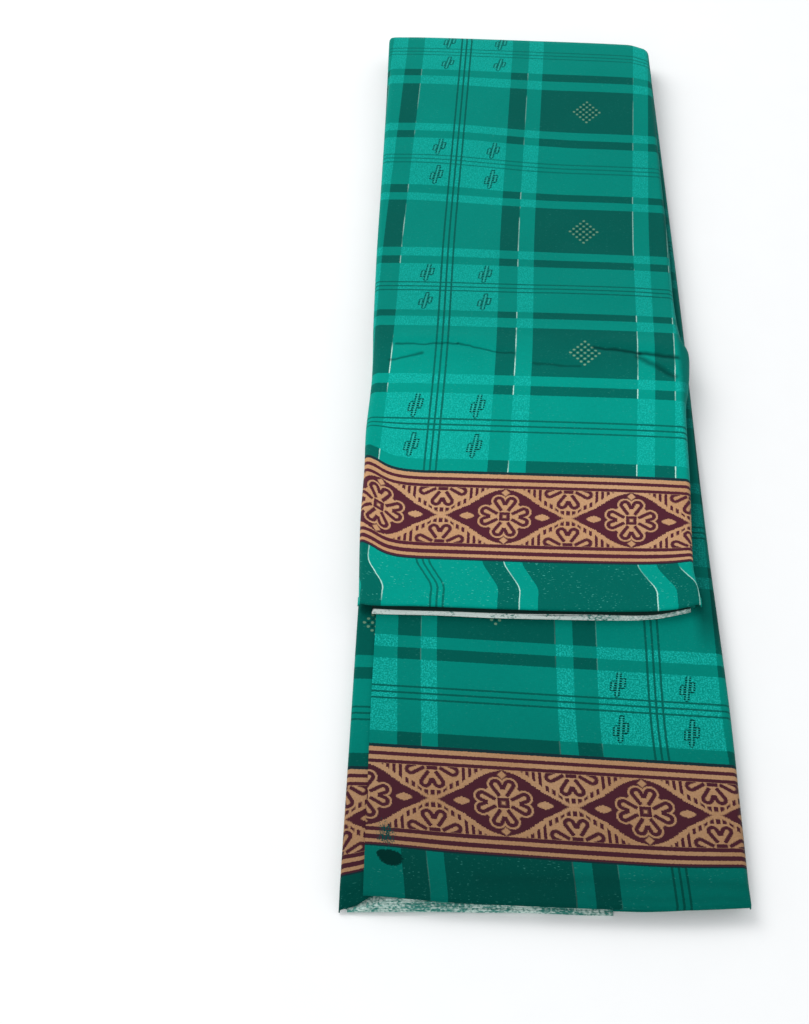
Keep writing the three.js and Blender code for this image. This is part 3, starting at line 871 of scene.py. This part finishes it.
# %% Border
BORDER_START = 26.0
BORDER_END = 83.0
BORDER_REPEAT = 65.5
BORDER_MIDDLE = 28.6
BORDER_HALF = 17.9
PRINT_STEP = 0.5
LOZENGE_STEP = 0.9
DASH_STEP = 2.95
# One petal: where its middle line starts and ends, from the middle of the flower
PETAL_START = (4.2, 0.3)
PETAL_END = (9.8, 3.2)


def segment(x, y, start, end):
    """Distance from a point to a straight segment."""
    dx = end[0] - start[0]
    dy = end[1] - start[1]
    size = dx * dx + dy * dy
    t = (((x - start[0]) * dx + (y - start[1]) * dy) / size).at_least(0.0).at_most(1.0)
    a = x - start[0] - t * dx
    b = y - start[1] - t * dy
    return (a * a + b * b).root()


def petal(x, y):
    """The outline of one petal, wider at its tip and open at its start, and the field round it."""
    dx = PETAL_END[0] - PETAL_START[0]
    dy = PETAL_END[1] - PETAL_START[1]
    away = segment(x, y, PETAL_START, PETAL_END)
    along = ((x - PETAL_START[0]) * dx + (y - PETAL_START[1]) * dy) / 39.8
    reach = along.at_least(0.0).at_most(1.0) * 0.55 + 1.45
    stem = x.under(7.3) * y.under(1.0)
    line = abs(away - reach).under(0.98, 0.25) * along.over(0.0, 0.03) * (1 - stem)
    return line, away.under(4.0, 0.3)


def border_lines(v):
    """The straight lines along both sides of the border."""
    line = v.under(2.0) + v.between(3.9, 6.4) + v.between(8.5, 10.7)
    return line + v.between(46.5, 48.4) + v.between(50.8, 52.8) + v.over(55.3)


def border(u, v, phase):
    """The border's maroon on tan, 1 where the dye is maroon, and the dark outer lines."""
    across = (u - phase + BORDER_REPEAT / 2) % BORDER_REPEAT - BORDER_REPEAT / 2
    side_x = abs((across / PRINT_STEP).rounded() * PRINT_STEP)
    side_y = abs(((v - BORDER_MIDDLE) / PRINT_STEP).rounded() * PRINT_STEP)
    # Large stepped lozenge
    way = 30.6 - (side_x / LOZENGE_STEP).rounded() * LOZENGE_STEP
    height = way * 0.58 + 1.8 * way.over(16, 8) - 1.5 * way.over(27, 6)
    lozenge = (height - side_y).over(0.0, 0.25)
    # Flower in the lozenge, with a square in its middle
    ring = side_x.at_least(side_y)
    petal_line, petal_field = petal(ring, side_x.at_most(side_y))
    middle = (side_x * side_x + side_y * side_y).under(106.0, 3.0)
    in_flower = petal_field.at_least(middle)
    flower = petal_line.at_least(ring.between(0.95, 2.7))
    # A small square above and below it, and a lens at each side
    squares = (side_x + abs(side_y - 15.2)).under(2.2, 0.3)
    lens = (abs(side_x - 19.4) / 3.7 + side_y * side_y / 4.6).under(1.0, 0.12)
    lozenge_dye = (lozenge * (1 - in_flower) * (1 - squares) * (1 - lens)).at_least(flower)
    # Half flowers on both edges between the lozenges
    gap_x = BORDER_REPEAT / 2 - side_x
    gap_y = BORDER_HALF - side_y + 0.7
    outward = gap_x.at_least(gap_y)
    half_line, half_field = petal(outward, gap_x.at_most(gap_y))
    half_flower = half_line.at_least(outward.between(0.95, 2.7))
    # Dashes: short ones follow the lozenge, long ones hang from the edge
    dash_number = (gap_x / DASH_STEP).rounded()
    on_dash = abs(gap_x - dash_number * DASH_STEP).under(0.86)
    past = side_y - height.at_least(0.0)
    short = past.between(2.0, 4.9) * dash_number.under(4.5, 0.1)
    long = past.over(3.2) * dash_number.between(4.5, 8.4, 0.1)
    ground_dye = half_flower.at_least(on_dash * short.at_least(long) * (1 - half_field))
    beside = (height - side_y).under(0.0, 0.25) * (1 - in_flower)
    pattern = mix_value(lozenge_dye, ground_dye, beside)
    dye = mix_value(border_lines(v), pattern, side_y.under(BORDER_HALF))
    return dye.at_most(1.0), (v.over(54.6) + v.under(0.9)).at_most(1.0)


print("border", BORDER_END - BORDER_START, "mm wide, a flower every", BORDER_REPEAT, "mm")

# %% [markdown]
# The print as a whole. Dye never lies quite evenly on plain cotton: threads take more or less of
# it, the palest cells are speckled, and here and there it has spotted or smudged. Slow and fine
# noises give that, and the weave is a very low bump, because real threads are far too many to model.

# %% Printed cloth
DEEP = colour(0, 86, 76)
MIDDLE = colour(0, 130, 116)
PALE = colour(4, 150, 136)
PALE_FLECK = colour(34, 200, 188)
THREAD_STEPS = (0.42, 0.46)


def wavering(finish, flat, u, v):
    """Places on the cloth with the small waver of a print's edge."""
    u_waver = finish.noise(flat, 1.1, 1.0)
    v_waver = finish.noise(finish.join(v, u, 3.0), 1.0, 1.0)
    return u + (u_waver - 0.5) * 0.55, v + (v_waver - 0.5) * 0.55


def stained(finish, base, u, v, stains, ragged_by, limit, dye):
    """Stains of the dye with ragged edges. Each has its place, half width and half height."""
    for at_u, at_v, wide, high in stains:
        off_u = (u - at_u) / wide
        off_v = (v - at_v) / high
        ragged = off_u * off_u + off_v * off_v + ragged_by
        base = finish.mix(base, dye, ragged.under(limit, 0.25))
    return base


def painted_light_and_shade(light, v, x, y, on_border, tone, side):
    """Painted light and shade: how light or deep the print is made along the cloth, and painted shade at
    the right side of the strip.
    """
    near, far, start, end = tone
    side_from, side_width, side_share, side_end, side_fade = side
    paler = 1 - (light - 1.0).at_least(0.0) * 0.42
    depth = (near - far) * paler * (1 - v.over((start + end) / 2, end - start)) + far
    depth = 1 + (depth - 1) * (1 - on_border * 0.45)
    return depth * (1 - side_share * x.over(side_from, side_width) * y.over(side_end, side_fade))


def printed_cloth(name, lines_at, figure_shift, border_phase, gap_strength, tone, side, speck, seed,
                  figures_from=-999.0, marks=(), smudges=(), painted_shades=()):
    """The finish: lines_at are where the columns change, speck how speckled the pale cells are."""
    finish = Finish(name, 0.78, 0.08, 0.16, GREEN_GLOSS)
    flat = finish.scaled(finish.on_cloth(), (1000.0, 1000.0, 0.0))
    plain_u, plain_v = finish.parts(flat)
    u, v = wavering(finish, flat, plain_u, plain_v)
    column = u % COLUMN_REPEAT
    row = (v - CHECK_START) % ROW_REPEAT
    light, light_row = light_bands(column, row, v, lines_at)

    # Threads both ways, fine grain, slow clouds of dye, and stray flecks
    threads = finish.noise(finish.join(plain_u * 2.4, plain_v * 0.35, seed), 1.0, 2.0)
    cross = finish.noise(finish.join(plain_u * 0.3, plain_v * 2.2, seed + 4.0), 1.0, 2.0)
    grain = finish.noise(flat, 1.25, 2.0, 0.7)
    cloud = finish.noise(flat, 0.022, 3.0)
    patchy = finish.noise(finish.join(plain_u * 0.2, plain_v * 0.05, seed), 1.0, 2.0)
    speckle = (grain + 0.4 * threads).over(0.74, 0.1)
    dim = (grain + 0.4 * cross).under(0.66, 0.12)
    flecks = finish.noise(finish.join(plain_u * 0.5, plain_v * 2.4, seed + 8.0), 1.0, 1.5).over(0.69, 0.05)
    flecks = flecks * finish.noise(flat, 0.05, 1.0).over(0.46, 0.2) * (v.under(BORDER_START) * 0.5 + 0.22)

    # The green cloth, from its ground to the stains that lie over all
    green = finish.mix(DEEP, MIDDLE, light.at_most(1.0))
    lightest = finish.mix(PALE, PALE_FLECK, speckle * speck)
    lightest = finish.mix(lightest, MIDDLE, dim * speck * 0.85)
    green = finish.mix(green, lightest, (light - 1.0).at_least(0.0))
    green = finish.mix(green, colour(3, 84, 74), triple_lines(column, row, v) * 0.9)
    links, link_dots = paired_figures(u, v, column, row, figure_shift, figures_from)
    green = finish.mix(green, colour(0, 44, 38), links)
    green = finish.mix(green, colour(140, 206, 192), link_dots * 0.12)
    dots, pale_dots = dotted_figure(column, row)
    green = finish.mix(green, colour(0, 52, 46), dots * 0.8)
    green = finish.mix(green, colour(112, 150, 122), pale_dots * 0.85)
    gap = pale_gaps(column, v, light_row, lines_at, patchy)
    green = finish.mix(green, colour(190, 226, 216), gap * gap_strength)
    green = finish.mix(green, colour(90, 190, 176), flecks)
    green = stained(finish, green, u, v, marks, (grain - 0.5) * 1.2, 1.0, colour(0, 50, 44))

    # The border over it
    dye, edge = border(u, v - BORDER_START, border_phase)
    tan = finish.mix(colour(194, 150, 113), colour(172, 126, 88), (cloud + grain - 0.5).over(0.5, 0.5))
    banded = finish.mix(tan, colour(78, 24, 40), dye)
    banded = finish.mix(banded, colour(24, 40, 48), edge * dye)
    ragged_by = (threads - 0.5) * 4.0 + (grain - 0.5) * 5.0
    banded = stained(finish, banded, u, v, smudges, ragged_by, 0.35, colour(8, 66, 64))
    on_border = v.between(BORDER_START, BORDER_END)
    base = finish.mix(green, banded, on_border)

    # Unevenness, painted light and shade along the cloth and at its right side, and painted shade along
    # lines such as the bottoms of the sharpest creases
    x, y = finish.parts(finish.on_piece())
    x = x * 1000.0
    y = y * 1000.0
    weave = (threads + cross - 1.0) * 0.22 + (cloud - 0.5) * 0.18
    # The print is made lighter or deeper here as painted light and shade: light near the flap's hem, shade
    # near the lower hem and along the right side
    depth = painted_light_and_shade(light, v, x, y, on_border, tone, side)
    shaded = finish.node("ShaderNodeHueSaturation", {}, {"Value": (1.0 + weave) * depth, "Color": base})
    wander = (finish.noise(flat, 0.07, 2.0) - 0.5) * 5.0
    # Painted shade along each given line, in dark green: in the creases of the flap and in faint bands
    # near the lower hem
    for start_place, end_place, reach, strength in painted_shades:
        near_painted_shade = segment(x, y + wander, start_place, end_place)
        shaded = finish.mix(shaded, colour(0, 40, 36), near_painted_shade.under(reach, reach * 1.6) * strength)
    finish.feed("Base Color", shaded)
    warp = (plain_u * (2 * math.pi / THREAD_STEPS[0])).sine()
    weft = (plain_v * (2 * math.pi / THREAD_STEPS[1])).sine()
    finish.bumps((warp + weft) * 0.25 + threads * 0.5 + cross * 0.5, 0.22, 0.0002)
    return finish.material


print("greens", [tuple(round(c, 3) for c in green) for green in (DEEP, MIDDLE, PALE)])

# %% [markdown]
# The flap and the two lower layers come from different lengths of the same printed cloth, so they
# share one recipe. Only where the columns fall, how the light lies and where the stains are differ.

# %% Three prints
FLAP_LINES = (58.5, 68.1, 79.0, 136.9, 147.8)
LOWER_LINES = (58.9, 67.4, 79.0, 137.8, 149.2)
# Painted light and shade in the print's depth near the hem and far from it, and from where to where the
# one passes into the other: the flap is lit near its hem, the lower half shaded near its own
FLAP_PAINTED_LIGHT = (1.4, 1.0, 150.0, 200.0)
LOWER_PAINTED_SHADE = (0.5, 0.95, 10.0, 120.0)
# Painted shade along the right side: where it begins across, how softly, how deep, and the same along
FLAP_PAINTED_SIDE_SHADE = (80.2, 3.0, 0.5, -130.0, 30.0)
LOWER_PAINTED_SIDE_SHADE = (79.0, 6.0, 0.55, -166.0, 24.0)
# Painted shade at the bottoms of the sharpest creases: both ends, half width, strength
CREASE_PAINTED_SHADES = [
    ((-77.4, 22.2), (-43.0, 22.7), 0.6, 0.6), ((-43.0, 22.7), (-12.0, 15.5), 0.6, 0.6),
    ((-80.3, 9.6), (-62.7, 14.5), 0.9, 0.6), ((-0.7, 9.0), (24.7, 7.4), 0.8, 0.5),
    ((33.0, 23.4), (58.4, 19.5), 1.0, 0.8), ((58.4, 19.5), (79.0, 17.4), 1.4, 0.8),
    ((57.2, 16.2), (76.9, 3.0), 1.6, 0.6),
]
# Painted shade in faint bands where the lowest strip lies a little hollow
HEM_PAINTED_SHADES = [((-30.0, -303.0), (90.0, -301.5), 2.2, 0.16), ((20.0, -311.0), (90.0, -309.0), 1.2, 0.1)]
# Stains of the dye near the lower hem's left end: place across, place along, half width, half height
MARKS = [(133.0, 20.4, 5.4, 4.2), (129.5, 22.0, 3.0, 2.4)]
SMUDGES = [(131.5, 33.0, 4.2, 7.5)]
flap_print = printed_cloth(
    "flap_print", FLAP_LINES, figure_shift=95.5, border_phase=55.8, gap_strength=0.75,
    tone=FLAP_PAINTED_LIGHT, side=FLAP_PAINTED_SIDE_SHADE, speck=0.36, seed=0.0, painted_shades=CREASE_PAINTED_SHADES)
lower_print = printed_cloth(
    "lower_print", LOWER_LINES, figure_shift=88.8, border_phase=55.8, gap_strength=0.1,
    tone=LOWER_PAINTED_SHADE, side=LOWER_PAINTED_SIDE_SHADE, speck=0.62, seed=9.0, figures_from=150.0,
    marks=MARKS, smudges=SMUDGES, painted_shades=HEM_PAINTED_SHADES)
under_print = printed_cloth(
    "under_print", LOWER_LINES, figure_shift=88.8, border_phase=47.7, gap_strength=0.1,
    tone=LOWER_PAINTED_SHADE, side=LOWER_PAINTED_SIDE_SHADE, speck=0.62, seed=17.0)
print("print made of", len(flap_print.node_tree.nodes), "nodes")

# %% [markdown]
# The layers inside show only as folded green edges, streaked along them. The woven edges are pale,
# with the reverse of the print showing through in places, and a painted shade where they lie deep
# under the hem. Streaks come from a noise stretched one way, which is simpler than drawing each thread.

# %% Folded layers and woven edges
def folded_layers():
    finish = Finish("folded_layers", 0.85, 0.08, 0.16, GREEN_GLOSS)
    streak = finish.noise(finish.scaled(finish.on_piece(), (8.0, 14.0, 900.0)), 1.0, 2.0)
    finish.feed("Base Color", finish.mix(colour(6, 74, 66), colour(20, 132, 118), streak.over(0.5, 0.3)))
    finish.bumps(streak, 0.3, 0.0003)
    return finish.material


def woven_edges(name, pale, stain, stain_side, stain_width):
    """Pale raw edges; stain is how much of the green shows, most of it past one place along them."""
    finish = Finish(name, 0.9, 0.15, 0.2)
    place = finish.on_piece()
    fibres = finish.noise(finish.scaled(place, (700.0, 900.0, 1600.0)), 1.0, 3.0)
    patches = finish.noise(place, 60.0, 3.0)
    sideways, inward = finish.parts(finish.on_cloth())
    past_side = (sideways * 1000.0).over(stain_side, stain_width)
    spots_of_dye = (fibres + patches - 0.5).over(stain, 0.2)
    more_dye = (fibres + patches * 0.5 - 0.25).over(0.5, 0.3) * past_side * 0.85
    tone = finish.mix(pale, colour(60, 138, 126), spots_of_dye.at_least(more_dye))
    # Painted shade: the edges turn dark green deeper behind their front, where the hem above shades them
    tone = finish.mix(tone, colour(4, 54, 48), (inward * 1000.0).over(1.4, 1.2))
    finish.feed("Base Color", tone)
    finish.bumps(fibres, 0.5, 0.0002)
    return finish.material


def dress(piece, material):
    """Gives a piece its one material."""
    piece.data.materials.clear()
    piece.data.materials.append(material)


dress(outer, flap_print)
dress(lower, lower_print)
dress(lower_left, under_print)
dress(hidden, folded_layers())
dress(flap_ends, woven_edges("flap_woven_edges", colour(232, 240, 235), 0.64, 30.0, 40.0))
dress(front_ends, woven_edges("front_woven_edges", colour(206, 226, 218), 0.5, -62.0, -16.0))

# %% [markdown]
# A plain pale floor carries the saree, just under it, so that soft shadows show how thick the
# folded cloth is. It glows very faintly, as a photographer's lit background does.

# %% Floor
bpy.ops.object.select_all(action="DESELECT")
bpy.ops.mesh.primitive_plane_add(size=6.0, location=(0.0, 0.0, -0.0003))
floor = bpy.context.object
floor.name = "floor"
floor_finish = Finish("pale_floor", 0.9, 0.0, 0.1)
floor_noise = floor_finish.noise(floor_finish.on_piece(), 40.0, 3.0)
floor_tone = floor_finish.mix((0.93, 0.93, 0.93, 1.0), (0.96, 0.96, 0.96, 1.0), floor_noise)
floor_finish.feed("Base Color", floor_tone)
floor_finish.shader.inputs["Emission Color"].default_value = (1.0, 1.0, 1.0, 1.0)
floor_finish.shader.inputs["Emission Strength"].default_value = 0.07
dress(floor, floor_finish.material)
print("floor", floor.name)

# %% [markdown]
# Each piece rides on the one body and stands for the CAD node of its name.

declared = 0
for piece, node, slot in (
    (outer, "outer_stretch", "printed_cloth"),
    (lower, "lower_stretch", "printed_cloth"),
    (lower_left, "lower_left_stretch", "printed_cloth"),
    (hidden, "hidden_layers", "folded_layers"),
    (flap_ends, "flap_end_layers", "woven_edges"),
    (front_ends, "front_end_layers", "woven_edges"),
):
    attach(piece, "root")
    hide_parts(node)
    declared += 1
print("pieces declared", declared)

# %% [markdown]
# Last comes a helper that gives the corners of a box as lists.

# %% Corners of a box
def corners(box):
    return [list(corner) for corner in box]
